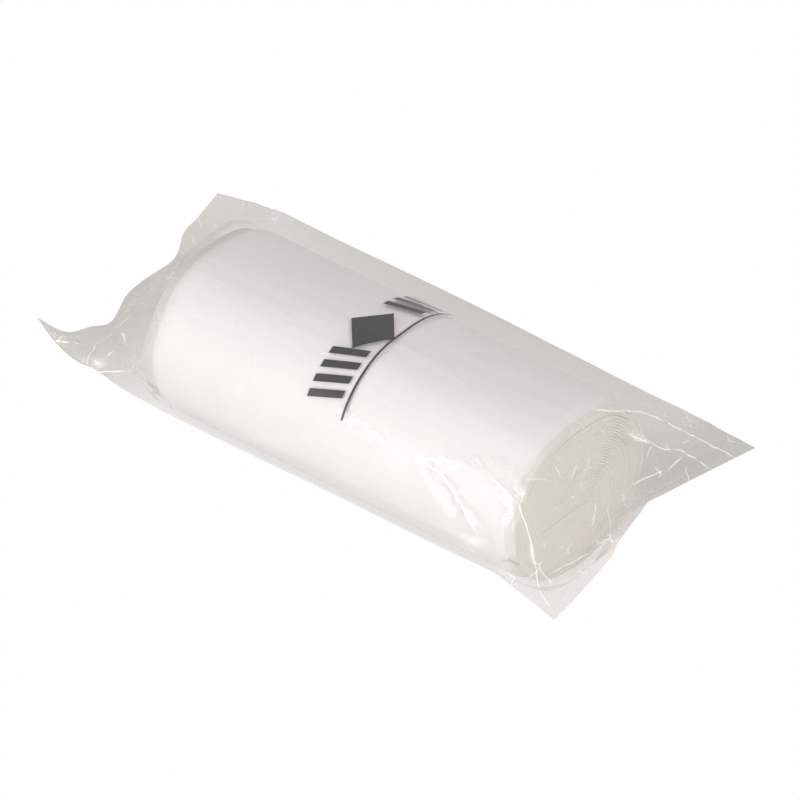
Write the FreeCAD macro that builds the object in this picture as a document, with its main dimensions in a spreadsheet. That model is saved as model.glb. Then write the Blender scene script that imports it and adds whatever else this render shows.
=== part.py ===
"""A roll of bin liners in its clear film pouch, lying on its side.

The liners are folded lengthwise and wound without a core, so the roll is soft and has gone a little flat.
The pouch is a flat tube of film that is welded shut across both ends. The roll swells its middle, the two
side creases of the tube stand out as wings, and each weld is drawn in over the roll between two ears.

X runs along the roll, Y across it towards the far side and Z up. The origin is on the floor under the
middle of the roll.
"""
import FreeCAD
import Part
import math
import os
import Sketcher

from FreeCAD import Vector

# Driving dimensions in millimetres: alias, value, meaning
SIZES = [
    ("roll_length", 150.0, "length of the roll"),
    ("roll_height", 58.0, "height of the wound roll"),
    ("roll_flat", 8.0, "width of the flat that the soft roll has under it and on top"),
    ("turn", 3.3, "thickness of one wound bundle of folded liners"),
    ("turn_gap", 0.5, "air between two turns"),
    ("eye", 2.0, "smallest height of the collapsed hole in the middle"),
    ("rim_soft", 2.2, "how far the outer turn is drawn in at both ends of the roll"),
    ("film", 0.3, "wall of the pouch"),
    ("roll_clear", 0.3, "clearance between the pouch and the roll"),
    ("near_crease_out", 7.4, "how far the near crease stands out beyond the roll"),
    ("near_crease_drop", 5.8, "near crease below the roll's middle"),
    ("far_crease_out", 11.9, "how far the far crease stands out beyond the roll"),
    ("far_crease_rise", 9.3, "far crease above the roll's middle"),
    ("seal", 3.0, "width of the welded band at each end"),
    ("left_near_out", 37.0, "left near ear: reach beyond the roll's end"),
    ("left_near_side", 37.0, "left near ear: distance to the near side"),
    ("left_near_up", 2.0, "left near ear: height above the roll's middle"),
    ("left_notch_out", 24.3, "left weld where it is drawn in: reach beyond the roll's end"),
    ("left_notch_side", 24.0, "left weld where it is drawn in: distance to the near side"),
    ("left_notch_up", -6.5, "left weld where it is drawn in: height above the roll's middle"),
    ("left_far_out", 33.0, "left far ear: reach beyond the roll's end"),
    ("left_far_side", 46.0, "left far ear: distance to the far side"),
    ("left_far_up", 5.0, "left far ear: height above the roll's middle"),
    ("left_gather", 2.8, "rise and fall of the wave along the left weld"),
    ("left_sag", 3.2, "sag of the upper film half way between the roll's rim and the left weld"),
    ("right_near_out", 25.0, "right near ear: reach beyond the roll's end"),
    ("right_near_side", 45.0, "right near ear: distance to the near side"),
    ("right_near_up", -10.0, "right near ear: height above the roll's middle"),
    ("right_notch_out", 14.9, "right weld where it is drawn in: reach beyond the roll's end"),
    ("right_notch_side", -7.8, "right weld where it is drawn in: distance to the near side"),
    ("right_notch_up", -5.8, "right weld where it is drawn in: height above the roll's middle"),
    ("right_far_out", 25.0, "right far ear: reach beyond the roll's end"),
    ("right_far_side", 53.0, "right far ear: distance to the far side"),
    ("right_far_up", 0.0, "right far ear: height above the roll's middle"),
    ("right_gather", -4.6, "rise and fall of the wave along the right weld, which falls first"),
    ("right_sag", 1.4, "sag of the upper film half way between the roll's rim and the right weld"),
    ("ink", 0.12, "thickness of the print"),
    ("ink_clear", 0.08, "clearance between the print and the pouch"),
    ("print_middle", -5.0, "middle of the print round the roll, from the top towards the far side"),
    ("rule_place", 4.5, "place of the printed rule along the roll"),
    ("rule_width", 0.8, "width of the printed rule"),
    ("rule_length", 64.0, "length of the printed rule round the roll"),
    ("bar_place", -4.0, "place of the row of printed bars along the roll"),
    ("bar_height", 12.0, "length of a printed bar along the roll"),
    ("bar_width", 2.6, "width of a printed bar"),
    ("bar_pitch", 5.0, "spacing of the printed bars"),
    ("bar_lean", 4.0, "sideways lean of a printed bar"),
    ("bar_start", 13.5, "distance of the first bar from the middle of the print"),
    ("lozenge_width", 17.0, "width of the printed lozenge round the roll"),
    ("lozenge_height", 20.0, "height of the printed lozenge along the roll"),
]

BARS_A_SIDE = 4  # printed bars on each side of the lozenge
WELD_SPANS = 18  # spans between the points of a weld's line
NOTCH_ROUND = 0.12  # rounding of the weld's drawn-in point, as a share of its run
CREASE_WALLS = 1.6  # walls of film between the two sides of a crease
OVERSIZE = 0.2  # the outermost turn is this much too large, and the envelope trims it
SAME_PLACE = 0.001  # edges shorter than this along the roll lie in one plane across it
TAIL_ANGLE = 24.0  # degrees below the middle where the liners' tail ends, on the near side
SAG_SPANS = 4  # spans between the points of each edge of the line where the upper film sags most
PRINT_SPAN = 2.5  # longest span between points of a printed mark round the roll
PATCH_SPANS = 3  # fewest spans between points of a printed mark, each way


def make_sheet(doc):
    """The spreadsheet with every driving dimension, one alias a row."""
    sheet = doc.addObject("Spreadsheet::Sheet", "Sizes")
    for row, (alias, value, meaning) in enumerate(SIZES, start=1):
        sheet.set(f"A{row}", meaning)
        sheet.set(f"B{row}", str(value))
        sheet.setAlias(f"B{row}", alias)
    doc.recompute()
    return sheet


def origin_plane(body, role):
    return next(f for f in body.Origin.OriginFeatures if f.Role == role)


def place(node):
    """Puts a node that is modelled round the roll's middle at its height above the floor."""
    node.setExpression("Placement.Base.z", "Sizes.roll_height / 2 + Sizes.roll_clear + Sizes.film")


def make_envelope(doc, sheet):
    """The soft roll's outer shape: a flattened bar with its rims drawn in."""
    body = doc.addObject("PartDesign::Body", "RollEnvelope")
    sketch = body.newObject("Sketcher::SketchObject", "Oval")
    sketch.AttachmentSupport = (origin_plane(body, "YZ_Plane"), [""])
    sketch.MapMode = "FlatFace"
    half, r = sheet.roll_flat / 2, sheet.roll_height / 2
    quarter = math.pi / 2

    def half_circle(middle, start):
        return Part.ArcOfCircle(Part.Circle(Vector(middle, 0), Vector(0, 0, 1), r), start, start + math.pi)

    far = sketch.addGeometry(half_circle(half, -quarter), False)
    top = sketch.addGeometry(Part.LineSegment(Vector(half, r), Vector(-half, r)), False)
    near = sketch.addGeometry(half_circle(-half, quarter), False)
    low = sketch.addGeometry(Part.LineSegment(Vector(-half, -r), Vector(half, -r)), False)
    start, end, centre = 1, 2, 3
    sketch.addConstraint([
        Sketcher.Constraint("Tangent", far, end, top, start),
        Sketcher.Constraint("Tangent", top, end, near, start),
        Sketcher.Constraint("Tangent", near, end, low, start),
        Sketcher.Constraint("Tangent", low, end, far, start),
        Sketcher.Constraint("Horizontal", top),
        Sketcher.Constraint("Symmetric", far, centre, near, centre, -1, 1),
    ])
    radius = sketch.addConstraint(Sketcher.Constraint("Radius", far, r))
    flat = sketch.addConstraint(Sketcher.Constraint("DistanceX", low, start, low, end, 2 * half))
    sketch.setExpression(f"Constraints[{radius}]", "Sizes.roll_height / 2")
    sketch.setExpression(f"Constraints[{flat}]", "Sizes.roll_flat")

    pad = body.newObject("PartDesign::Pad", "Bar")
    pad.Profile = sketch
    pad.setExpression("Length", "Sizes.roll_length")
    pad.Midplane = True
    doc.recompute()
    rims = [f"Edge{i}" for i, e in enumerate(pad.Shape.Edges, start=1) if e.BoundBox.XLength < SAME_PLACE]
    chamfer = body.newObject("PartDesign::Chamfer", "SoftRims")
    chamfer.Base = (pad, rims)
    chamfer.setExpression("Size", "Sizes.rim_soft")
    body.Tip = chamfer
    return body


def half_turn(centre, r, start_angle, end_angle):
    """An arc in the YZ plane round a centre, from one angle to another in degrees."""
    def at(angle):
        a = math.radians(angle)
        return centre + Vector(0, r * math.cos(a), r * math.sin(a))
    return Part.Arc(at(start_angle), at((start_angle + end_angle) / 2), at(end_angle)).toShape()


def wound_profile(sheet):
    """The wound strip's end face: a flattened spiral, from the eye out to the tail.

    The far half circles share one centre. The near ones sit half a pitch lower, so each turn grows by one
    pitch and the strip stays smooth.
    """
    pitch = sheet.turn + sheet.turn_gap
    last = sheet.roll_height / 2 + OVERSIZE
    turns = math.floor((last - sheet.turn - sheet.eye / 2) / pitch)
    far = Vector(0, sheet.roll_flat / 2, 0)
    near = Vector(0, -sheet.roll_flat / 2, -pitch / 2)

    def side(inset):
        edges = []
        for k in range(turns + 1):
            r = last - (turns - k) * pitch - inset
            edges.append(half_turn(far, r, -90, 90))
            above = edges[-1].Vertexes[-1].Point
            over = Vector(0, near.y, above.z)
            edges.append(Part.makeLine(above, over))
            swept = 180 + TAIL_ANGLE if k == turns else 270
            edges.append(half_turn(near, r + pitch / 2, 90, swept))
            if k < turns:
                below = edges[-1].Vertexes[-1].Point
                edges.append(Part.makeLine(below, Vector(0, far.y, below.z)))
        return edges

    outer, inner = side(0), side(sheet.turn)
    head = Part.makeLine(outer[0].Vertexes[0].Point, inner[0].Vertexes[0].Point)
    tail = Part.makeLine(outer[-1].Vertexes[-1].Point, inner[-1].Vertexes[-1].Point)
    return Part.Face(Part.Wire(Part.sortEdges([head, *outer, tail, *inner])[0]))


def make_liner_roll(doc, sheet):
    """The wound liners as one solid, trimmed to the soft roll's outer shape."""
    profile = doc.addObject("Part::Feature", "WoundProfile")
    profile.Shape = wound_profile(sheet)
    strip = doc.addObject("Part::Extrusion", "WoundStrip")
    strip.Base = profile
    strip.DirMode = "Custom"
    strip.Dir = Vector(1, 0, 0)
    strip.Solid = True
    strip.Symmetric = True
    strip.setExpression("LengthFwd", "Sizes.roll_length")
    roll = doc.addObject("Part::Common", "LinerRoll")
    roll.Base = strip
    roll.Tool = make_envelope(doc, sheet)
    roll.Label = "liner_roll"
    place(roll)
    return roll


def outline(sheet, wall, side):
    """The film across the roll's middle, as five edges from the near crease to the far one.

    Side is 1 for the upper film and -1 for the lower one. A wall of zero gives the film's inner face.
    """
    r = sheet.roll_height / 2 + sheet.roll_clear + wall
    far_centre = Vector(0, sheet.roll_flat / 2, 0)
    near_centre = far_centre.negative()
    shortened = CREASE_WALLS * (sheet.film - wall)

    def touch(out, rise):
        """Where film from a crease comes to lie on the roll, as an angle above or below the crease's side."""
        reach = Vector(r + out - shortened, rise, 0)
        return reach, math.degrees(math.atan2(rise, reach.x)) + side * math.degrees(math.acos(r / reach.Length))

    near_reach, near_touch = touch(sheet.near_crease_out, -sheet.near_crease_drop)
    far_reach, far_touch = touch(sheet.far_crease_out, sheet.far_crease_rise)
    near_crease = near_centre + Vector(0, -near_reach.x, near_reach.y)
    far_crease = far_centre + Vector(0, far_reach.x, far_reach.y)
    near_arc = half_turn(near_centre, r, 180 - near_touch, 180 - side * 90)
    far_arc = half_turn(far_centre, r, side * 90, far_touch)
    return [
        Part.makeLine(near_crease, near_arc.Vertexes[0].Point),
        near_arc,
        Part.makeLine(near_arc.Vertexes[-1].Point, far_arc.Vertexes[0].Point),
        far_arc,
        Part.makeLine(far_arc.Vertexes[-1].Point, far_crease),
    ]


def outline_shares(sheet, wall):
    """Where the five edges of an outline begin and end, as shares of the film's width."""
    lengths = [edge.Length for edge in outline(sheet, wall, 1)]
    crease = lengths[0] / sum(lengths)
    flat = lengths[2] / 2 / sum(lengths)
    return [0, crease, 0.5 - flat, 0.5 + flat, 1 - crease, 1]


def weld_point(sheet, end, share):
    """A point on the outer edge of a weld, where share runs from 0 at the near ear to 1 at the far one."""
    def corner(name):
        out, across, up = (getattr(sheet, f"{end}_{name}_{word}") for word in ("out", "side", "up"))
        return Vector(sheet.roll_length / 2 + out, across if name == "far" else -across, up)

    near, notch, far = corner("near"), corner("notch"), corner("far")
    notch_share = (notch.y - near.y) / (far.y - near.y)
    if share < notch_share:
        ear, run = near, (notch_share - share) / notch_share
    else:
        ear, run = far, (share - notch_share) / (1 - notch_share)
    rounded = (math.hypot(run, NOTCH_ROUND) - NOTCH_ROUND) / (math.hypot(1, NOTCH_ROUND) - NOTCH_ROUND)
    along = notch.x + (ear.x - notch.x) * rounded
    across = notch.y + (ear.y - notch.y) * run
    gather = getattr(sheet, f"{end}_gather") * math.sin(math.pi * share)
    up = notch.z + (ear.z - notch.z) * rounded + gather * math.sin(2 * math.pi * share)
    return Vector(along, across, up)


def weld_edges(sheet, end, shares, inward, lift, trim):
    """A weld's line as five edges that match the outlines' edges, moved inward and lifted.

    The first and the last run straight to the ears, and the wave lies between them.
    """
    way = -1 if end == "left" else 1

    def at(share):
        p = weld_point(sheet, end, trim + share * (1 - 2 * trim))
        return Vector(way * (p.x - inward), p.y, p.z + lift)

    edges = []
    for start, stop in zip(shares[1:-2], shares[2:-1]):
        count = max(3, math.ceil((stop - start) * WELD_SPANS))
        curve = Part.BSplineCurve()
        curve.interpolate([at(start + (stop - start) * i / count) for i in range(count + 1)])
        edges.append(curve.toShape())
    near, far = (Part.makeLine(at(a), at(b)) for a, b in (shares[:2], shares[-2:]))
    return [near, *edges, far]


def ruled(first, second):
    """Straight film from each edge of one list to its match in the other."""
    return [Part.makeRuledSurface(a, b, 1) for a, b in zip(first, second)]


def sagging_line(first, second, sag):
    """The edges half way between two matching lists of edges, sunk in the middle and level at both ends."""
    whole = sum(edge.Length for edge in first)
    passed, edges = 0, []
    for a, b in zip(first, second):
        points = []
        for i in range(SAG_SPANS + 1):
            part = i / SAG_SPANS
            across = (passed + part * a.Length) / whole
            middle = (along_edge(a, part) + along_edge(b, part)) / 2
            points.append(middle - Vector(0, 0, sag * math.sin(math.pi * across)))
        curve = Part.BSplineCurve()
        curve.interpolate(points)
        edges.append(curve.toShape())
        passed += a.Length
    return edges


def along_edge(edge, part):
    return edge.valueAt(edge.FirstParameter + part * (edge.LastParameter - edge.FirstParameter))


def start_of(edge):
    return edge.valueAt(edge.FirstParameter)


def end_of(edge):
    return edge.valueAt(edge.LastParameter)


def facet(*corners):
    return Part.Face(Part.makePolygon([*corners, corners[0]]))


def fan(rim, weld, sag):
    """Film from the rim to the weld, sagging half way, with a ridge from the roll's shoulder to each ear."""
    near_crease, near_shoulder = start_of(rim[0]), end_of(rim[0])
    near_ear, near_root = start_of(weld[0]), end_of(weld[0])
    far_shoulder, far_crease = start_of(rim[-1]), end_of(rim[-1])
    far_root, far_ear = start_of(weld[-1]), end_of(weld[-1])
    half_way = sagging_line(rim[1:-1], weld[1:-1], sag)
    return ruled(rim[1:-1], half_way) + ruled(half_way, weld[1:-1]) + [
        facet(near_crease, near_shoulder, near_ear),
        facet(near_shoulder, start_of(half_way[0]), near_root, near_ear),
        facet(far_shoulder, far_crease, far_ear),
        facet(far_shoulder, far_ear, far_root, end_of(half_way[-1])),
    ]


def closed_solid(faces):
    shell = Part.makeShell(faces)
    shell.sewShape()
    solid = Part.Solid(shell)
    if solid.Volume < 0:
        solid.reverse()
    return solid


def pouch_solid(sheet, wall):
    """The pouch's outside with a wall of film, or the space inside it with a wall of zero.

    Round the roll it is a straight tube. Beyond each rim, film fans out to the weld.
    """
    upper, lower = outline(sheet, wall, 1), outline(sheet, wall, -1)
    shares = outline_shares(sheet, wall)
    rim = sheet.roll_length / 2 + sheet.roll_clear + wall / 2
    inside = sheet.film - wall
    trim = CREASE_WALLS * inside / sum(edge.Length for edge in upper)
    faces = [edge.translated(Vector(-rim, 0, 0)).extrude(Vector(2 * rim, 0, 0)) for edge in upper + lower]
    for end, way in (("left", -1), ("right", 1)):
        at_rim = [[edge.translated(Vector(way * rim, 0, 0)) for edge in edges] for edges in (upper, lower)]
        root = [weld_edges(sheet, end, shares, sheet.seal + inside, lift, trim) for lift in (wall, -wall)]
        faces += fan(at_rim[0], root[0], getattr(sheet, f"{end}_sag")) + fan(at_rim[1], root[1], 0)
        if wall == 0:
            continue
        tip = [weld_edges(sheet, end, shares, 0, lift, 0) for lift in (wall, -wall)]
        faces += ruled(root[0], tip[0]) + ruled(root[1], tip[1]) + ruled(tip[0], tip[1])
        for corner, piece in ((start_of, 0), (end_of, -1)):
            crease = corner(at_rim[0][piece])
            above, below = (corner(edges[piece]) for edges in root)
            tip_above, tip_below = (corner(edges[piece]) for edges in tip)
            faces += [facet(crease, above, below), facet(above, tip_above, tip_below, below)]
    return closed_solid(faces)


def make_film_pouch(doc, sheet):
    """The pouch: its outside less the space inside."""
    outside = doc.addObject("Part::Feature", "PouchOutside")
    outside.Shape = pouch_solid(sheet, sheet.film)
    space = doc.addObject("Part::Feature", "PouchSpace")
    space.Shape = pouch_solid(sheet, 0)
    pouch = doc.addObject("Part::Cut", "FilmPouch")
    pouch.Base = outside
    pouch.Tool = space
    pouch.Label = "film_pouch"
    place(pouch)
    return pouch


def point_round(edges, distance):
    """The point of the pouch's outline at a distance from the middle of its flat, towards the far side."""
    near_line, near_arc, flat = edges[:3]
    left = near_line.Length + near_arc.Length + flat.Length / 2 + distance
    for edge in edges:
        if left <= edge.Length:
            break
        left -= edge.Length
    return edge.valueAt(edge.getParameterByLength(min(max(left, 0), edge.Length)))


def film_patch(edges, corners):
    """The surface of a printed mark on an outline's film, from the mark's four corners in order.

    A corner is a pair: along the roll, and round it from the middle of the print.
    """
    first, second, third, fourth = (Vector(*corner, 0) for corner in corners)
    spans = max(PATCH_SPANS, math.ceil(max((fourth - first).Length, (third - second).Length) / PRINT_SPAN))
    rows = []
    for i in range(spans + 1):
        start, end = first + (fourth - first) * (i / spans), second + (third - second) * (i / spans)
        flat_points = [start + (end - start) * (j / PATCH_SPANS) for j in range(PATCH_SPANS + 1)]
        rows.append([point_round(edges, p.y) + Vector(p.x, 0, 0) for p in flat_points])
    surface = Part.BSplineSurface()
    surface.interpolate(rows)
    return surface


def printed_mark(sheet, corners):
    """One printed mark as a thin solid just above the pouch's upper film."""
    shifted = [(along, round_way + sheet.print_middle) for along, round_way in corners]
    bed = sheet.film + sheet.ink_clear
    surfaces = [film_patch(outline(sheet, wall, 1), shifted) for wall in (bed, bed + sheet.ink)]
    faces = [surface.toShape() for surface in surfaces]
    for iso, bound in (("uIso", 0), ("uIso", 1), ("vIso", 2), ("vIso", 3)):
        rails = [getattr(surface, iso)(surface.bounds()[bound]).toShape() for surface in surfaces]
        faces.append(Part.makeRuledSurface(*rails, 1))
    return closed_solid(faces)


def make_print(doc, sheet):
    """The print round the pouch: a thin rule, a lozenge and a row of leaning bars on each side of it."""
    def rule():
        x, w, reach = sheet.rule_place, sheet.rule_width / 2, sheet.rule_length / 2
        return [(x - w, -reach), (x + w, -reach), (x + w, reach), (x - w, reach)]

    def lozenge():
        x, w, reach = sheet.bar_place, sheet.lozenge_width / 2, sheet.lozenge_height / 2
        return [(x, -w), (x + reach, 0), (x, w), (x - reach, 0)]

    def bar(side, number):
        x, reach, w = sheet.bar_place, sheet.bar_height / 2, sheet.bar_width / 2
        y = side * (sheet.bar_start + number * sheet.bar_pitch)
        lean = sheet.bar_lean / 2
        return [(x - reach, y - w - lean), (x + reach, y - w + lean),
                (x + reach, y + w + lean), (x - reach, y + w - lean)]

    outlines = [rule(), lozenge()] + [bar(side, n) for side in (-1, 1) for n in range(BARS_A_SIDE)]
    marks = doc.addObject("Part::Feature", "PrintMarks")
    marks.Shape = Part.Compound([printed_mark(sheet, corners) for corners in outlines])
    marks.Label = "print_marks"
    place(marks)
    return marks


def check(doc, nodes):
    """Stops the macro where an object failed to recompute or a node's shape is null or invalid."""
    for item in doc.Objects:
        if "Invalid" in item.State or "Error" in item.State:
            raise RuntimeError(f"{item.Name} did not recompute: {item.State}")
    for node in nodes:
        if node.Shape.isNull() or not node.Shape.isValid() or not node.Shape.Solids:
            raise RuntimeError(f"{node.Label} has no valid shape")


def main():
    doc = FreeCAD.newDocument("bin_liner_roll")
    sheet = make_sheet(doc)
    nodes = [make_liner_roll(doc, sheet), make_film_pouch(doc, sheet), make_print(doc, sheet)]
    doc.recompute()
    check(doc, nodes)
    os.makedirs("parts", exist_ok=True)
    for node in nodes:
        node.Shape.exportStep(f"parts/{node.Label}.step")
        box = node.Shape.optimalBoundingBox(False, False)
        print(node.Label, len(node.Shape.Solids), round(node.Shape.Volume), box)


main()
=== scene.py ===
import math

import bmesh
import bpy
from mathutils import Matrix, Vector, noise
from mathutils.bvhtree import BVHTree


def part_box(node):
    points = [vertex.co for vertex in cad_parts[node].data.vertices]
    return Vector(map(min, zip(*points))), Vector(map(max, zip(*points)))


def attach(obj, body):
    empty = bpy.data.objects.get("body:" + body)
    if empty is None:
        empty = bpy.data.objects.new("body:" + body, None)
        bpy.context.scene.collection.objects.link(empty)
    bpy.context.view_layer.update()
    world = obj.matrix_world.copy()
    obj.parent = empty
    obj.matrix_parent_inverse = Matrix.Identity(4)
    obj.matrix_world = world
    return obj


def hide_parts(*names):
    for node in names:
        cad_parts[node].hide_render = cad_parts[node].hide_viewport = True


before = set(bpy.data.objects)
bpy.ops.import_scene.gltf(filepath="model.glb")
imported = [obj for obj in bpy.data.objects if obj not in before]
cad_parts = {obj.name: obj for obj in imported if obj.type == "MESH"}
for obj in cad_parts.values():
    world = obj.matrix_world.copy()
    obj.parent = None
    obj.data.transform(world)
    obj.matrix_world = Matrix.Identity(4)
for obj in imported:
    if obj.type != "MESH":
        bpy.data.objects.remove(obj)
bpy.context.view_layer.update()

MM = 0.001

# ---------------------------------------------------------------- sizes from the frame
roll_low, roll_high = (Vector(corner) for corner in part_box("liner_roll"))

ROLL_END = roll_high.x
ROLL_RADIUS = (roll_high.z - roll_low.z) / 2
ROLL_HALF_FLAT = roll_high.y - ROLL_RADIUS
MIDDLE = Vector((0, 0, (roll_low.z + roll_high.z) / 2))

# The wound liners. The eye is the flattened hole in the middle, and the tail is the outermost end.
TURNS = 34
OUTER_TURNS = 2
CORE_RADIUS = 0.9 * MM
LINER_GAP = 0.01 * MM
RIM_SOFT, INNER_RIM_SOFT = 3.0 * MM, 0.6 * MM
RIM_WIDE = 9 * MM
END_STRAY = 0.7 * MM
END_LUMP = 2.0 * MM
RIPPLE = 0.5 * MM
EYE_HALF_FLAT = 11.5 * MM
EYE_Y, EYE_Z = -7.6 * MM, -4.6 * MM
TAIL_TURN = 204 / 360
TAIL_TAPER, TAPER_FROM = 0.8, 0.88

# The film bag. Its folds are the side creases at the middle of the roll's length, from the roll's middle.
FILM_CLEAR = 0.45 * MM
NEAR_FOLD = Vector((0, -41, -5.8)) * MM
FAR_FOLD = Vector((0, 45.5, 9.3)) * MM
WELD = 2.4 * MM
TUBE_FLAT = 111.5 * MM
TUBE_LENGTH = 220 * MM
ROUND_STEPS = 60
END_ROWS, BODY_ROWS = 30, 50
LENGTH_STEPS = 2 * END_ROWS + BODY_ROWS
LOOSE = 4 * MM
DENT, DENT_SIZE = 1.2 * MM, 7 * MM
FLAT_LAYERS_APART = 0.3 * MM
# The stiff form of the roll that the film settles on.
FORM_SOFT, FORM_SUNK = 5 * MM, 0.2 * MM
FORM_STEPS, FORM_ROUND = 6, 64
FORM_SETTINGS = {"thickness_outer": 0.002, "thickness_inner": 0.05, "cloth_friction": 2}
# Where it settles: larger than life, so that small sizes don't trouble the solver.
SIM_SCALE = 10.0
SIM_FRAMES = 40
FILM_SETTINGS = {
    "quality": 7, "mass": 0.05, "tension_stiffness": 80, "compression_stiffness": 80, "shear_stiffness": 40,
    "bending_model": "ANGULAR", "bending_stiffness": 0.005, "tension_damping": 5, "compression_damping": 5,
    "shear_damping": 5, "bending_damping": 0.05, "air_damping": 1.0,
}

# Paths of the welds from the near ear to the far one, and of the creases from the left ear to the right one,
# in mm: x, y, height over the roll's middle.
LEFT_WELD = (
    (-112, -37, 2), (-105, -31, -4), (-100, -25, -3), (-98.5, -17, -5), (-101, -7, -2), (-104, 4, -4),
    (-103, 9, -3), (-101, 15, -1), (-104, 22, -2), (-107, 28, 0), (-108, 36, 1), (-108, 46, 5),
)
RIGHT_WELD = (
    (100, -45, -10), (97, -31, -11), (92.6, -13, -12), (92, -6, -10), (89.5, 5, -3), (92, 20, -2),
    (96, 37, -1), (100, 53, 0),
)
NEAR_CREASE = (
    (-112, -37, 2), (-103, -38.5, -5), (-94, -39, -7), (-84, -39.5, -4.8), (-57, -40.5, -4.6), (-5, -40.5, -6),
    (35, -40.5, -7.2), (62, -40.5, -6.6), (79, -42, -7.9), (100, -45, -10),
)
FAR_CREASE = (
    (-108, 46, 5), (-88, 47.5, 8.5), (-58, 46, 9.5), (-14, 45.5, 10.2), (29, 45.3, 9.2), (55, 45.7, 7.5),
    (81, 49, 4.9), (100, 53, 0),
)

# Sharp creases in the upper film, in mm as the camera sees them: right of the middle and above it. They are raised
# and whitened as painted glints.
CREASE_LINES = (
    # From the near shoulder down to the right near ear.
    ((37.5, -29.5), (41, -38.7), (42.7, -46.3), (44, -57), (48.5, -63.5)),
    # Over the shoulder.
    ((11, -18.5), (17, -24), (25.5, -39.6)), ((27.7, -20), (37, -30)),
    # From the roll's far shoulder along the right far ear.
    ((60, -2), (75.4, -2.6), (80, -4.4), (89, -9), (105, -17)),
    ((71, -9), (83, -14.2), (87.6, -14.2), (97, -20.3)), ((83, -21), (88.5, -15.7)),
    ((72, -25), (83, -19.7)),
    # Across the crumpled end.
    ((56, -18), (53.5, -23.5)), ((48.5, -18.2), (51, -23)), ((61.6, -29.5), (60, -38.4)),
    ((64.7, -38.7), (67, -43)), ((47, -52), (60, -45)),
    # The left near ear.
    ((-97, 9.5), (-81, 10)), ((-105, 19.5), (-95, 18)), ((-88.8, 13.8), (-84.5, 16.6)),
)
CREASE_HIGH, CREASE_WIDE = 0.35 * MM, 2.0 * MM
CREASE_TAPER = 3.0 * MM
# Painted highlights: where the loose film is whitened as if it shone, and how far to each side.
SHEEN_LINES = (
    (((-17, -2.5), (-4, -11), (11.5, -18), (28, -18), (39, -26.5)), 3.5),
    (((11.5, -18.5), (16, -27), (25, -41)), 5),
    (((32, -21), (34, -34)), 6),
    (((73, -9), (84, -14)), 1.8),
    (((45, -60), (48.7, -63.7)), 2.2),
    (((-100, 12), (-90, 12)), 3),
)

PRINT_CLEAR = 0.1 * MM
# The print, in mm along the roll and round it: a rule, two rows of slanted bars and a lozenge.
PRINT_MIDDLE = -5.0
RULE_X, RULE_WIDE, RULE_HALF = 4.1, 0.8, 32
BARS, FIRST_BAR, BAR_PITCH = 4, 13.5, 5
BAR_X, BAR_LONG, BAR_SLANT, BAR_WIDE = -10, 12, 4, 2.6
LOZENGE_X, LOZENGE_HALF_LONG, LOZENGE_HALF_ROUND = -4, 8.5, 10

# The ground's painted glow towards the camera under the near side, which lifts the shade there: how strong, and
# where it fades in.
GLOW, GLOW_Y, GLOW_X = 0.85, (55 * MM, 5 * MM), (-122 * MM, -80 * MM)

# The camera, on its way out from the aim.
AZIMUTH, ELEVATION = math.radians(39.5), math.radians(36)
LENS, SENSOR = 1200.0, 36.0
PICTURE_WIDTH = 244.6 * MM
AIM = Vector((2.6, 0, 32.1)) * MM


# ---------------------------------------------------------------- node trees
class Graph:
    """Adds nodes to one node tree."""

    def __init__(self, tree):
        self.tree = tree
        tree.nodes.clear()

    def add(self, kind, settings=(), inputs=()):
        made = self.tree.nodes.new(kind)
        for name, value in dict(settings).items():
            setattr(made, name, value)
        for key, value in dict(inputs).items():
            self.put(made.inputs[key], value)
        return made

    def put(self, socket, value):
        if isinstance(value, Number):
            value = value.socket
        if isinstance(value, bpy.types.NodeSocket):
            self.tree.links.new(value, socket)
        else:
            socket.default_value = value

    def number(self, socket):
        return Number(self, socket)

    def math(self, operation, *values, clamp=False):
        made = self.add("ShaderNodeMath", {"operation": operation, "use_clamp": clamp}, enumerate(values))
        return Number(self, made.outputs[0])

    def vector(self, x, y, z):
        return self.add("ShaderNodeCombineXYZ", (), {0: x, 1: y, 2: z}).outputs[0]

    def axes(self, vector):
        made = self.add("ShaderNodeSeparateXYZ", (), {0: vector})
        return [Number(self, out) for out in made.outputs]


class Number:
    """A number flowing through a node tree, written as arithmetic."""

    def __init__(self, graph, socket):
        self.graph, self.socket = graph, socket

    def __add__(self, other):
        return self.graph.math("ADD", self, other)

    def __sub__(self, other):
        return self.graph.math("SUBTRACT", self, other)

    def __rsub__(self, other):
        return self.graph.math("SUBTRACT", other, self)

    def __mul__(self, other):
        return self.graph.math("MULTIPLY", self, other)

    def __truediv__(self, other):
        return self.graph.math("DIVIDE", self, other)

    def __rtruediv__(self, other):
        return self.graph.math("DIVIDE", other, self)

    def __pow__(self, other):
        return self.graph.math("POWER", self, other)

    __radd__ = __add__
    __rmul__ = __mul__

    def ramp(self, start, end):
        """0 at start, 1 at end, smooth between."""
        made = self.graph.add(
            "ShaderNodeMapRange", {"interpolation_type": "SMOOTHSTEP"},
            {0: self, 1: start, 2: end, 3: 0.0, 4: 1.0},
        )
        return Number(self.graph, made.outputs[0])


def noise_at(graph, vector, scale, detail=2.0, roughness=0.5, distortion=0.0):
    """Noise from 0 to 1 at a place."""
    made = graph.add("ShaderNodeTexNoise", (), {
        "Vector": vector, "Scale": scale, "Detail": detail, "Roughness": roughness, "Distortion": distortion,
    })
    return graph.number(made.outputs[0])


def mixed_tone(graph, factor, first, second):
    """A colour between two colours."""
    return graph.add("ShaderNodeMix", {"data_type": "RGBA"}, {0: factor, 6: first, 7: second}).outputs[2]


# ---------------------------------------------------------------- materials
def material(name):
    made = bpy.data.materials.new(name)
    made.use_nodes = True
    return made, Graph(made.node_tree)


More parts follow.
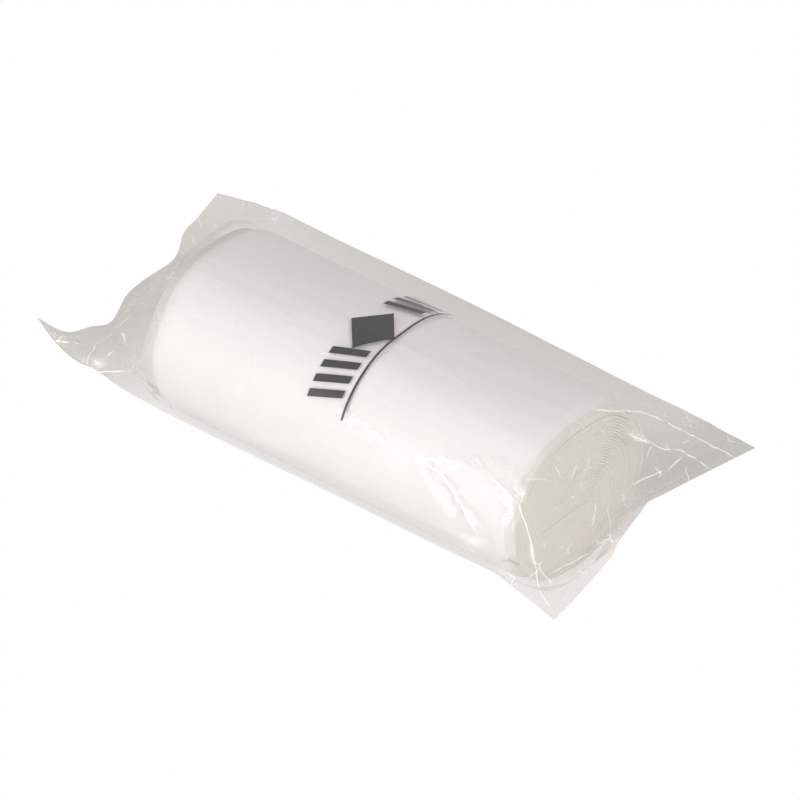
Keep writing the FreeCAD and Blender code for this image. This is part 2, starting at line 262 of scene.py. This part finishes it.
def liner_material():
    """Milky thin film in many layers."""
    made, g = material("white liner")
    place = g.add("ShaderNodeTexCoord").outputs["Object"]
    clouds = noise_at(g, place, 60.0, 3.0)
    side = mixed_tone(g, clouds, (0.79, 0.768, 0.772, 1), (0.84, 0.818, 0.822, 1))
    x, y, z = g.axes(place)
    # Many layers seen on edge look a little yellower.
    on_edge = g.math("ABSOLUTE", x).ramp(ROLL_END - 5 * MM, ROLL_END - 2 * MM)
    tone = mixed_tone(g, on_edge, side, (0.80, 0.775, 0.735, 1))
    folds = noise_at(g, g.vector(x * 0.25, y, z), 90.0, 3.0, 0.55, 0.8)
    bump = g.add("ShaderNodeBump", (), {"Strength": 0.35, "Distance": 1.6 * MM, "Height": folds})
    shader = g.add(
        "ShaderNodeBsdfPrincipled", (),
        {"Base Color": tone, "Roughness": 0.5, "Normal": bump.outputs[0], "Specular IOR Level": 0.3},
    )
    g.add("ShaderNodeOutputMaterial", (), {0: shader.outputs[0]})
    return made


def film_material():
    """Thin clear film: see-through with a faint milky tone and glossy, with painted highlights whitened along its
    creases and shiny patches, and painted shade on its far right ear.
    """
    made, g = material("clear film")
    place = g.add("ShaderNodeTexCoord").outputs["Object"]
    x, y, z = g.axes(place)
    at_ends = g.math("ABSOLUTE", x).ramp(0.85 * ROLL_END, 1.08 * ROLL_END)

    def mark(name):
        return g.number(g.add("ShaderNodeAttribute", {"attribute_name": name}).outputs["Fac"])

    bent = g.add(
        "ShaderNodeVectorMath", {"operation": "MULTIPLY_ADD"},
        {0: g.add("ShaderNodeTexNoise", (), {"Vector": place, "Scale": 90.0, "Detail": 2.0}).outputs["Color"],
         1: (0.008, 0.008, 0.008), 2: place},
    ).outputs[0]

    def cells(feature, scale):
        made = g.add("ShaderNodeTexVoronoi", {"feature": feature}, {"Vector": bent, "Scale": scale})
        return g.number(made.outputs["Distance"])

    # Fine creases: broken lines between the facets of crumpled film, whitened as painted glints.
    broken = noise_at(g, place, 130.0, 2.0).ramp(0.50, 0.60)
    fine = (1.0 - cells("DISTANCE_TO_EDGE", 85.0).ramp(0.0, 0.035)) * broken * (at_ends * 0.9 + 0.06)
    # Pressed creases: thin lines, a little crooked and broken, drawn from the distance to them, whitened as painted
    # glints.
    wander = noise_at(g, place, 200.0, 2.0) - 0.5
    off = g.math("ABSOLUTE", mark("crease_off") + wander * 1.2)
    unbroken = noise_at(g, place, 200.0, 1.0).ramp(0.26, 0.44)
    crease_glint = mark("crease") * (1.0 - off.ramp(0.05, 0.34)) * unbroken
    # Painted highlight: white patches where the loose film shines, along the sheen lines.
    shine = mark("sheen").ramp(0.0, 0.9)
    glint = shine * noise_at(g, g.vector(x * 0.7, y * 1.4, z), 130.0, 2.0, 0.5, 1.2).ramp(0.43, 0.60)
    # Painted shade: the far right ear is darkened and made milkier, standing in for the roll's shadow on the ground
    # seen through it.
    far_ear_shade = x.ramp(68 * MM, 92 * MM) * y.ramp(0.0, 40 * MM)
    streaks = noise_at(g, g.vector(x * 0.18, y, z), 240.0, 3.0)
    height = cells("F1", 75.0) * (at_ends * 0.9 + 0.1) + streaks * 0.18
    bump = g.add("ShaderNodeBump", (), {"Strength": 0.45, "Distance": 1.4 * MM, "Height": height})
    # Painted highlights: crease glints and shiny patches whiten the film's colour and make it less clear.
    painted_glints = g.math("MINIMUM", crease_glint * 0.9 + fine * 0.7 + glint * 0.5, 1.0)
    # The haze tone, darkened towards the painted shade on the far right ear.
    plain = mixed_tone(g, far_ear_shade, (0.76, 0.745, 0.725, 1), (0.46, 0.455, 0.44, 1))
    tone = mixed_tone(g, painted_glints, plain, (1.0, 0.99, 0.97, 1))
    clear = g.add("ShaderNodeBsdfTransparent", (), {0: (0.95, 0.937, 0.927, 1)})
    milky = g.add("ShaderNodeBsdfPrincipled", (), {
        "Base Color": tone, "Roughness": 0.10, "Normal": bump.outputs[0], "Specular IOR Level": 0.9, "IOR": 1.5,
    })
    facing = g.number(g.add("ShaderNodeLayerWeight", (), {0: 0.25}).outputs["Fresnel"])
    share = g.math("MINIMUM", facing * 0.15 + 0.07 + at_ends * 0.05, 0.18) + far_ear_shade * 0.10 + painted_glints * 0.6
    film = g.add("ShaderNodeMixShader", (), {0: share, 1: clear.outputs[0], 2: milky.outputs[0]})
    g.add("ShaderNodeOutputMaterial", (), {0: film.outputs[0]})
    return made


def ink_material():
    """Dark grey print with a slightly worn tone."""
    made, g = material("print ink")
    place = g.add("ShaderNodeTexCoord").outputs["Object"]
    wear = noise_at(g, place, 900.0, 2.0)
    tone = mixed_tone(g, wear, (0.04, 0.039, 0.04, 1), (0.065, 0.064, 0.065, 1))
    shader = g.add("ShaderNodeBsdfPrincipled", (), {"Base Color": tone, "Roughness": 0.35})
    g.add("ShaderNodeOutputMaterial", (), {0: shader.outputs[0]})
    return made


# ---------------------------------------------------------------- meshes
def smoothed(mesh):
    for polygon in mesh.polygons:
        polygon.use_smooth = True
    return mesh


def new_piece(name, mesh, finish_material):
    """A mesh object standing at the origin."""
    mesh.materials.clear()
    mesh.materials.append(finish_material)
    piece = bpy.data.objects.new(name, mesh)
    bpy.context.scene.collection.objects.link(piece)
    return piece


def mesh_of(name, points, faces):
    made = bpy.data.meshes.new(name)
    made.from_pydata([tuple(p) for p in points], [], faces)
    made.update()
    return made


def evaluated_mesh(name, thing):
    """The plain mesh that a thing's modifiers make."""
    graph = bpy.context.evaluated_depsgraph_get()
    made = bpy.data.meshes.new_from_object(thing.evaluated_get(graph), depsgraph=graph)
    made.name = name
    return made


def lengths_along(points):
    """Distance from the first point to each point."""
    reached = [0.0]
    for a, b in zip(points, points[1:]):
        reached.append(reached[-1] + (b - a).length)
    return reached


def points_at(points, shares):
    """Points at rising shares of the length of a path of points."""
    reached = lengths_along(points)
    found, leg = [], 0
    for share in shares:
        wanted = reached[-1] * share
        while leg < len(points) - 2 and reached[leg + 1] < wanted:
            leg += 1
        span = reached[leg + 1] - reached[leg]
        found.append(points[leg].lerp(points[leg + 1], (wanted - reached[leg]) / span if span else 0))
    return found


def evenly(points, steps):
    """steps + 1 points at even distances along a path of points."""
    return points_at(points, [i / steps for i in range(steps + 1)])


def curve_through(points, shares):
    """Points at shares of the length of a soft curve through a few points."""
    points = [points[0] * 2 - points[1]] + points + [points[-1] * 2 - points[-2]]
    fine = []
    for a, b, c, d in zip(points, points[1:], points[2:], points[3:]):
        for i in range(24):
            t = i / 24
            fine.append(
                (b * 2 + (c - a) * t + (a * 2 - b * 5 + c * 4 - d) * t**2 + (b * 3 - a - c * 3 + d) * t**3) / 2
            )
    fine.append(points[-2].copy())
    return points_at(fine, shares)


def flat_square(half):
    """A level square about the origin: points and faces."""
    corners = ((-half, -half), (half, -half), (half, half), (-half, half))
    return [Vector((x, y, 0)) for x, y in corners], [(0, 1, 2, 3)]


def nearest_line(lines, place):
    """Signed distance from a place to the nearest of some flat lines, and how far that line's end is from there."""
    best, to_end = 1.0, 0.0
    for line in lines:
        before = 0.0
        whole = sum((b - a).length for a, b in zip(line, line[1:]))
        for a, b in zip(line, line[1:]):
            run = b - a
            share = min(max((place - a).dot(run) / run.length_squared, 0), 1)
            off = place - a - run * share
            if off.length < abs(best):
                best = math.copysign(off.length, run.x * off.y - run.y * off.x)
                reached = before + run.length * share
                to_end = min(reached, whole - reached)
            before += run.length
    return best, to_end


# ---------------------------------------------------------------- the wound liners
def winding_tree():
    """A node group that winds a thin flat box into a spiral about the X axis."""
    tree = bpy.data.node_groups.new("winding", "GeometryNodeTree")
    face = tree.interface
    face.new_socket("Geometry", in_out="OUTPUT", socket_type="NodeSocketGeometry")
    for kind, names in (
        ("NodeSocketInt", ("Steps Along", "Steps Round")),
        ("NodeSocketFloat", (
            "Turns", "Start Turn", "First Radius", "Last Radius", "Thickness", "Half Length", "First Half Flat",
            "Last Half Flat", "First Aside", "First Sunk", "Tail Taper", "Middle Height", "Rim Soft", "End Stray",
            "End Lump", "Ripple", "Seed",
        )),
        ("NodeSocketMaterial", ("Material",)),
    ):
        for name in names:
            face.new_socket(name, in_out="INPUT", socket_type=kind)
    g = Graph(tree)
    given = g.add("NodeGroupInput").outputs

    def value(name):
        return g.number(given[name])

    box = g.add("GeometryNodeMeshCube", (), {
        "Size": (1, 1, 1), "Vertices X": value("Steps Along"), "Vertices Y": value("Steps Round"), "Vertices Z": 2,
    }).outputs["Mesh"]
    along, round_, layer = g.axes(g.add("GeometryNodeInputPosition").outputs[0])
    share = round_ + 0.5
    turn = value("Start Turn") + share * value("Turns")
    angle = turn * (2 * math.pi)
    # The rim sinks in softly, and the inner turns are pressed flatter than the outer ones.
    from_end = value("Half Length") * (1.0 - g.math("ABSOLUTE", along) * 2.0)
    sunk = 1.0 - from_end.ramp(0.0, RIM_WIDE)
    up, side = g.math("SINE", angle), g.math("COSINE", angle)
    wave = noise_at(g, g.vector(along * 2.4, up, side), 2.2, 2.0)
    # The tail thins out and lies close on the turn below it.
    thinned = share.ramp(TAPER_FROM, 1.0) * value("Tail Taper")
    radius = (
        value("First Radius") + (value("Last Radius") - value("First Radius")) * share
        + layer * value("Thickness") - value("Rim Soft") * sunk * sunk - value("Ripple") * wave
        - (layer + 0.5) * value("Thickness") * thinned
    )
    half_flat = value("First Half Flat") + (value("Last Half Flat") - value("First Half Flat")) * share
    y = radius * side + half_flat * g.math("MINIMUM", g.math("MAXIMUM", side * 2.5, -1.0), 1.0)
    y = y + value("First Aside") * (1.0 - share)
    height = radius * up + value("First Sunk") * (1.0 - share)
    # Each turn ends a little further in or out than the next, over soft lumps that go through all of them.
    stray = noise_at(g, g.vector(turn * 1.7, value("Seed") + along * 2.2, up * 0.6), 1.4, 3.0)
    lump = noise_at(g, g.vector(y, height, along * 0.05 + value("Seed")), 45.0, 1.0)
    x = along * 2.0 * (value("Half Length") - value("End Stray") * stray - value("End Lump") * lump)
    z = height + value("Middle Height")
    wound = g.add("GeometryNodeSetPosition", (), {"Geometry": box, "Position": g.vector(x, y, z)}).outputs[0]
    # Winding turns the box inside out.
    outward = g.add("GeometryNodeFlipFaces", (), {0: wound}).outputs[0]
    real = g.add("GeometryNodeRealizeInstances", (), {0: outward}).outputs[0]
    done = g.add("GeometryNodeSetMaterial", (), {"Geometry": real, "Material": given["Material"]}).outputs[0]
    g.add("NodeGroupOutput", (), {0: done})
    return tree


def wind(tree, name, values):
    """One wound strip as a plain mesh."""
    holder = bpy.data.objects.new(name, bpy.data.meshes.new(name))
    bpy.context.scene.collection.objects.link(holder)
    modifier = holder.modifiers.new("winding", "NODES")
    modifier.node_group = tree
    for item in tree.interface.items_tree:
        if item.in_out == "INPUT":
            modifier[item.identifier] = values[item.name]
    made = evaluated_mesh(name, holder)
    holder.modifiers.clear()
    bpy.data.objects.remove(holder)
    return made


def make_roll(white):
    """The roll: fine outer turns over coarser inner ones that close in on the flattened eye."""
    tree = winding_tree()
    pitch = (ROLL_RADIUS - CORE_RADIUS) / TURNS
    inner_turns = TURNS - OUTER_TURNS
    last_radius = ROLL_RADIUS - (pitch - LINER_GAP) / 2
    radius_there = last_radius - OUTER_TURNS * pitch
    flat_there = ROLL_HALF_FLAT + (EYE_HALF_FLAT - ROLL_HALF_FLAT) * OUTER_TURNS / TURNS
    shared = {
        "Thickness": pitch - LINER_GAP, "Half Length": ROLL_END, "Middle Height": MIDDLE.z,
        "End Stray": END_STRAY, "End Lump": END_LUMP, "Material": white, "Seed": 3.0,
    }
    outside = smoothed(wind(tree, "outside turns", {
        **shared, "Steps Along": 90, "Steps Round": 260, "Turns": float(OUTER_TURNS),
        "Start Turn": TURNS - OUTER_TURNS + TAIL_TURN, "First Radius": radius_there, "Last Radius": last_radius,
        "First Half Flat": flat_there, "Last Half Flat": ROLL_HALF_FLAT, "Rim Soft": RIM_SOFT, "Ripple": RIPPLE,
        "First Aside": 0.0, "First Sunk": 0.0, "Tail Taper": TAIL_TAPER,
    }))
    inside = wind(tree, "inside turns", {
        **shared, "Steps Along": 8, "Steps Round": 60 * inner_turns, "Turns": float(inner_turns),
        "Start Turn": TAIL_TURN, "First Radius": CORE_RADIUS, "Last Radius": radius_there,
        "First Half Flat": EYE_HALF_FLAT, "Last Half Flat": flat_there, "Rim Soft": INNER_RIM_SOFT, "Ripple": 0.0,
        "First Aside": EYE_Y, "First Sunk": EYE_Z, "Tail Taper": 0.0,
    })
    # The cut ends of the turns lie flat beside each other.
    for polygon in inside.polygons:
        polygon.use_smooth = abs(polygon.normal.x) < 0.7
    both = bmesh.new()
    both.from_mesh(outside)
    both.from_mesh(inside)
    joined = bpy.data.meshes.new("liner roll")
    both.to_mesh(joined)
    both.free()
    return new_piece("wound_roll", joined, white)


# ---------------------------------------------------------------- the film bag
def bag_section(side):
    """The film across the roll's middle from the near crease to the far one, over (1) or under (-1) it."""
    radius = ROLL_RADIUS + FILM_CLEAR

    def touch(fold):
        """Where film from a crease comes to lie on the roll, as an angle from that side."""
        reach = Vector((abs(fold.y) - ROLL_HALF_FLAT, fold.z))
        return math.atan2(reach.y, reach.x) + side * math.acos(radius / reach.length)

    def bow(way, start, end, steps=24):
        angles = [start + (end - start) * i / steps for i in range(steps + 1)]
        return [Vector((0, way * (ROLL_HALF_FLAT + radius * math.cos(a)), radius * math.sin(a))) for a in angles]

    top = side * math.pi / 2
    round_roll = bow(-1, touch(NEAR_FOLD), top) + bow(1, top, touch(FAR_FOLD))
    return evenly([NEAR_FOLD] + round_roll + [FAR_FOLD], ROUND_STEPS)


def row_shares():
    """Where the rows of points lie between the welds' inner edges, closer together beyond the roll's ends."""
    end = (TUBE_LENGTH / 2 - WELD - ROLL_END + LOOSE) / (TUBE_LENGTH - 2 * WELD)
    steps = END_ROWS - 1
    near_left = [end * i / steps for i in range(steps)]
    body = [end + (1 - 2 * end) * i / BODY_ROWS for i in range(BODY_ROWS)]
    near_right = [1 - end + end * i / steps for i in range(steps + 1)]
    return near_left + body + near_right


def all_row_shares():
    weld = WELD / TUBE_LENGTH
    return [0.0] + [weld + (1 - 2 * weld) * share for share in row_shares()] + [1.0]


def bag_start():
    """Columns of points round the bag, each from the left weld to the right one."""
    round_shares = [i / ROUND_STEPS for i in range(ROUND_STEPS + 1)]
    left = curve_through([Vector(p) * MM for p in LEFT_WELD], round_shares)
    right = curve_through([Vector(p) * MM for p in RIGHT_WELD], round_shares)
    over, under = bag_section(1), bag_section(-1)
    rim = Vector((ROLL_END + FILM_CLEAR, 0, 0))
    columns = []
    for c in range(2 * ROUND_STEPS):
        k = c if c <= ROUND_STEPS else 2 * ROUND_STEPS - c
        body = over[k] if c <= ROUND_STEPS else under[k]
        # The weld is flat, so its inner edge lies between the two layers.
        flat = (over[k] + under[k]) / 2
        left_in = left[k] + (flat - rim - left[k]).normalized() * WELD
        right_in = right[k] + (flat + rim - right[k]).normalized() * WELD
        inner = points_at([left_in, body - rim, body + rim, right_in], row_shares())
        columns.append([left[k]] + inner + [right[k]])
    for c, path in ((0, NEAR_CREASE), (ROUND_STEPS, FAR_CREASE)):
        columns[c] = curve_through([Vector(p) * MM for p in path], all_row_shares())
    # Small dents near the ends give the slack film somewhere to buckle.
    for c, column in enumerate(columns):
        if c in (0, ROUND_STEPS):
            continue
        for p in column[2:-2]:
            loose = min(max((abs(p.x) - ROLL_END + LOOSE) / (3 * LOOSE), 0), 1)
            out = Vector((0, p.y, p.z)).normalized()
            p += out * loose * DENT * noise.noise(Vector((p.x, p.y, p.z)) / DENT_SIZE)
    return [[p + MIDDLE for p in column] for column in columns]


def bag_flat():
    """The same points on the tube as it was cut, pressed flat."""
    columns = []
    for c in range(2 * ROUND_STEPS):
        k = c if c <= ROUND_STEPS else 2 * ROUND_STEPS - c
        y = TUBE_FLAT * (k / ROUND_STEPS - 0.5)
        z = 0.0 if c in (0, ROUND_STEPS) else FLAT_LAYERS_APART / 2 * (1 if c < ROUND_STEPS else -1)
        columns.append([Vector((TUBE_LENGTH * (share - 0.5), y, z)) for share in all_row_shares()])
    return columns


def bag_faces():
    count, rows = 2 * ROUND_STEPS, LENGTH_STEPS + 1
    return [
        (c * rows + r, c * rows + r + 1, (c + 1) % count * rows + r + 1, (c + 1) % count * rows + r)
        for c in range(count) for r in range(LENGTH_STEPS)
    ]


def roll_form():
    """A plain closed form of the roll for the film to rest on."""
    soft, count = FORM_SOFT, FORM_ROUND
    radius = ROLL_RADIUS - FORM_SUNK
    turned = [math.pi / 2 * i / FORM_STEPS for i in range(FORM_STEPS + 1)]
    rim = [(ROLL_END - soft + soft * math.sin(a), radius - soft + soft * math.cos(a)) for a in turned]
    rings = [(-x, r) for x, r in reversed(rim)] + rim
    points, faces = [], []
    for x, r in rings:
        for i in range(count):
            a = 2 * math.pi * i / count
            y = r * math.cos(a) + math.copysign(ROLL_HALF_FLAT, math.cos(a))
            points.append(Vector((x, y, r * math.sin(a))) + MIDDLE)
    for j in range(len(rings) - 1):
        for i in range(count):
            k = (i + 1) % count
            faces.append((j * count + i, j * count + k, (j + 1) * count + k, (j + 1) * count + i))
    faces.append(tuple(reversed(range(count))))
    faces.append(tuple(range((len(rings) - 1) * count, len(rings) * count)))
    return points, faces


def solid_thing(name, points, faces):
    """Something that the film can't pass, at the simulation's scale."""
    thing = bpy.data.objects.new(name, mesh_of(name, [p * SIM_SCALE for p in points], faces))
    bpy.context.scene.collection.objects.link(thing)
    thing.modifiers.new("Collision", "COLLISION")
    for setting, value in FORM_SETTINGS.items():
        setattr(thing.collision, setting, value)
    return thing


def settled_bag():
    """The bag's points after the film has settled round the roll between its two welds."""
    start = [p for column in bag_start() for p in column]
    flat = [p for column in bag_flat() for p in column]
    rows = LENGTH_STEPS + 1
    loose = mesh_of("settling film", [p * SIM_SCALE for p in start], bag_faces())
    film = bpy.data.objects.new("settling film", loose)
    bpy.context.scene.collection.objects.link(film)
    film.shape_key_add(name="Basis")
    cut = film.shape_key_add(name="Cut")
    for key_point, p in zip(cut.data, flat):
        key_point.co = (p + MIDDLE) * SIM_SCALE
    cut.value = 0
    # The welds and the two side creases hold their form.
    held = film.vertex_groups.new(name="welds")
    held.add([c * rows + r for c in range(2 * ROUND_STEPS) for r in (0, 1, rows - 2, rows - 1)], 1.0, "REPLACE")
    held.add([c * rows + r for c in (0, ROUND_STEPS) for r in range(rows)], 1.0, "REPLACE")
    things = [solid_thing("roll form", *roll_form()), solid_thing("ground", *flat_square(0.3))]
    cloth = film.modifiers.new("Cloth", "CLOTH")
    for name, value in FILM_SETTINGS.items():
        setattr(cloth.settings, name, value)
    cloth.settings.vertex_group_mass = "welds"
    cloth.settings.rest_shape_key = cut
    cloth.settings.effector_weights.gravity = 0.3
    cloth.collision_settings.use_collision = True
    cloth.collision_settings.distance_min = 0.003
    cloth.collision_settings.collision_quality = 3
    cloth.point_cache.frame_start, cloth.point_cache.frame_end = 1, SIM_FRAMES
    scene = bpy.context.scene
    scene.frame_start, scene.frame_end = 1, SIM_FRAMES
    for number in range(1, SIM_FRAMES + 1):
        scene.frame_set(number)
    settled = evaluated_mesh("settled film", film)
    points = [v.co / SIM_SCALE for v in settled.vertices]
    for thing in things + [film]:
        bpy.data.objects.remove(thing)
    scene.frame_set(1)
    return points


def picture_axes():
    """The camera's ways right, up and back."""
    level = math.cos(ELEVATION)
    back = Vector((math.sin(AZIMUTH) * level, -math.cos(AZIMUTH) * level, math.sin(ELEVATION)))
    right = Vector((math.cos(AZIMUTH), math.sin(AZIMUTH), 0))
    return right, back.cross(right), back


def press_creases(mesh):
    """Raises sharp creases along the lines on the film that faces the camera, and marks where painted highlights
    go.
    """
    right, up, back = picture_axes()
    lines = [[Vector(p) * MM for p in line] for line in CREASE_LINES]
    shines = [([[Vector(p) * MM for p in line]], wide * MM) for line, wide in SHEEN_LINES]
    tree = BVHTree.FromPolygons([v.co for v in mesh.vertices], [p.vertices for p in mesh.polygons])
    # The distance from the nearest crease in mm, how strong that crease is there, and how much painted highlight
    # the film gets.
    names = ("crease_off", "crease", "sheen")
    off, strength, sheen = (mesh.attributes.new(name, "FLOAT", "POINT") for name in names)
    moved = []
    for v in mesh.vertices:
        place = v.co - MIDDLE
        seen = Vector((place.dot(right), place.dot(up)))
        distance, to_end = nearest_line(lines, seen)
        off.data[v.index].value = min(max(distance / MM, -9), 9)
        strong = min(to_end / CREASE_TAPER + 0.1, 1)
        raised = max(1 - abs(distance) / CREASE_WIDE, 0) * strong
        shine = max(1 - abs(nearest_line(line, seen)[0]) / wide for line, wide in shines)
        if v.normal.dot(back) < 0.05 or max(raised, shine) <= 0:
            continue
        # Only the film nearest the camera is pressed.
        if tree.ray_cast(v.co + back * MM, back)[0] is None:
            strength.data[v.index].value = strong if raised else 0
            sheen.data[v.index].value = max(shine, 0)
            moved.append((v.index, v.co + v.normal * CREASE_HIGH * raised))
    for index, co in moved:
        mesh.vertices[index].co = co
    mesh.update()


def make_bag(clear):
    """The settled film, made finer and creased."""
    base = new_piece("coarse_bag", smoothed(mesh_of("coarse_bag", settled_bag(), bag_faces())), clear)
    smoother = base.modifiers.new("finer", "SUBSURF")
    smoother.levels = smoother.render_levels = 1
    fine = smoothed(evaluated_mesh("clear_bag", base))
    bpy.data.objects.remove(base)
    press_creases(fine)
    return new_piece("clear_bag", fine, clear)


# ---------------------------------------------------------------- the print
def grid_faces(steps_across, steps_up):
    w = steps_across + 1
    return [
        (j * w + i, j * w + i + 1, (j + 1) * w + i + 1, (j + 1) * w + i)
        for j in range(steps_up) for i in range(steps_across)
    ]


def shape_grid(corner, across, up, steps_across, steps_up):
    """A patch of small cells from a corner: points (x, distance round) and faces."""
    points = [
        corner + across * (i / steps_across) + up * (j / steps_up)
        for j in range(steps_up + 1) for i in range(steps_across + 1)
    ]
    return points, grid_faces(steps_across, steps_up)


def make_print(ink, bag):
    """Bars, a lozenge and a thin rule, printed on the film round the roll."""
    tree = BVHTree.FromObject(bag, bpy.context.evaluated_depsgraph_get())
    radius = ROLL_RADIUS + FILM_CLEAR
    half = ROLL_HALF_FLAT
    points, faces = [], []

    def on_film(x, s):
        """The place on the film at x and at distance s from the top's middle, towards the far side."""
        if abs(s) <= half:
            centre, a = Vector((x, s, 0)), math.pi / 2
        else:
            a = math.pi / 2 - (abs(s) - half) / radius * math.copysign(1, s)
            centre = Vector((x, math.copysign(half, s), 0))
        out = Vector((0, math.cos(a), math.sin(a)))
        hit = tree.ray_cast(centre + MIDDLE + out * radius * 1.4, -out)[0]
        return (hit if hit else centre + MIDDLE + out * radius) + out * PRINT_CLEAR

    def patch(corner, across, up, steps_across, steps_up):
        flat, cells = shape_grid(Vector(corner) * MM, Vector(across) * MM, Vector(up) * MM, steps_across, steps_up)
        base = len(points)
        points.extend(on_film(p.x, p.y) for p in flat)
        faces.extend(tuple(base + i for i in cell) for cell in cells)

    patch((RULE_X, PRINT_MIDDLE - RULE_HALF), (RULE_WIDE, 0), (0, 2 * RULE_HALF), 1, 64)
    for sign in (-1, 1):
        for i in range(BARS):
            start = PRINT_MIDDLE + sign * (FIRST_BAR + BAR_PITCH * i) - BAR_WIDE / 2
            patch((BAR_X, start), (BAR_LONG, BAR_SLANT), (0, BAR_WIDE), 12, 3)
    # The lozenge: cells between two slanted edges that meet at its tips.
    base = len(points)
    steps = 20
    for j in range(steps + 1):
        v = -1 + 2 * j / steps
        wide = max(1 - abs(v), 0.02)
        for i in range(steps + 1):
            u = -1 + 2 * i / steps
            x = LOZENGE_X + LOZENGE_HALF_LONG * u * wide
            points.append(on_film(x * MM, (PRINT_MIDDLE + LOZENGE_HALF_ROUND * v) * MM))
    faces.extend(tuple(base + i for i in cell) for cell in grid_faces(steps, steps))
    return new_piece("printed_marks", smoothed(mesh_of("printed_marks", points, faces)), ink)


# ---------------------------------------------------------------- setting
def light(name, place, aim, size, power):
    lamp = bpy.data.lights.new(name, "AREA")
    lamp.shape = "RECTANGLE"
    lamp.size, lamp.size_y = size
    lamp.energy = power
    stand = bpy.data.objects.new(name, lamp)
    stand.location = place
    stand.rotation_euler = (Vector(place) - Vector(aim)).to_track_quat("Z", "Y").to_euler()
    bpy.context.scene.collection.objects.link(stand)


def any_ray(graph, seen, *names):
    """1 where a ray is of one of some kinds."""
    found = 0.0
    for name in names:
        found = graph.math("MAXIMUM", found, graph.number(seen[name]))
    return found


def set_ground():
    """A white ground that is pale grey, with its shadows, where it is seen through the film."""
    ground = bpy.data.objects.new("ground", mesh_of("ground", *flat_square(3.0)))
    bpy.context.scene.collection.objects.link(ground)
    white, g = material("white ground")
    seen = g.add("ShaderNodeLightPath").outputs
    camera_ray = any_ray(g, seen, "Is Camera Ray")
    through_film = g.math("MINIMUM", g.number(seen["Transparent Depth"]), 1.0)
    # Painted light: it glows a little towards the camera on the near side, lifting the shade seen through the film.
    x, y = g.axes(g.add("ShaderNodeTexCoord").outputs["Object"])[:2]
    near = y.ramp(*GLOW_Y) * x.ramp(*GLOW_X) * GLOW
    shown = g.math("MAXIMUM", camera_ray * (1.0 - through_film), camera_ray * near)
    shown = g.math("MAXIMUM", shown, any_ray(g, seen, "Is Glossy Ray", "Is Transmission Ray"))
    plain = g.add("ShaderNodeBsdfDiffuse", (), {0: (0.77, 0.76, 0.74, 1)})
    glow = g.add("ShaderNodeEmission", (), {0: (1, 1, 1, 1), 1: 1.0})
    mixed = g.add("ShaderNodeMixShader", (), {0: shown, 1: plain.outputs[0], 2: glow.outputs[0]})
    g.add("ShaderNodeOutputMaterial", (), {0: mixed.outputs[0]})
    ground.data.materials.append(white)


def set_surround():
    """White to the camera, and a little darker as a light."""
    world = bpy.data.worlds.new("surround")
    world.use_nodes = True
    g = Graph(world.node_tree)
    seen = g.add("ShaderNodeLightPath").outputs
    strength = 0.76 + any_ray(g, seen, "Is Camera Ray", "Is Transmission Ray") * 0.24
    back = g.add("ShaderNodeBackground", (), {0: (1, 1, 1, 1), 1: strength})
    g.add("ShaderNodeOutputWorld", (), {0: back.outputs[0]})
    bpy.context.scene.world = world


def set_lamps():
    light("near softbox", (-0.22, -0.93, 0.22), (0, 0, 0.03), (0.60, 0.36), 3.5)
    light("low front lamp", (-0.10, -0.85, 0.03), (0, 0, 0.012), (0.60, 0.05), 0.95)
    light("right lamp", (0.70, -0.26, 0.62), (0.08, 0, 0.03), (0.12, 0.12), 2.4)


def set_camera():
    """It looks down on the near right end of the roll through a long lens."""
    back_way = picture_axes()[2]
    camera = bpy.data.cameras.new("camera")
    camera.lens, camera.sensor_width = LENS, SENSOR
    camera.clip_start, camera.clip_end = 0.1, 40.0
    holder = bpy.data.objects.new("camera", camera)
    holder.location = AIM + back_way * (PICTURE_WIDTH * LENS / SENSOR)
    holder.rotation_euler = back_way.to_track_quat("Z", "Y").to_euler()
    bpy.context.scene.collection.objects.link(holder)
    bpy.context.scene.camera = holder
    bpy.context.scene.view_settings.view_transform = "Standard"


white, clear, ink = liner_material(), film_material(), ink_material()
roll = make_roll(white)
bag = make_bag(clear)
marks = make_print(ink, bag)
for piece, node, slot in (
    (roll, "liner_roll", "liner_film"), (bag, "film_pouch", "clear_film"), (marks, "print_marks", "print_ink")
):
    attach(piece, "root")
    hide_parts(node)
set_ground()
set_surround()
set_lamps()
set_camera()
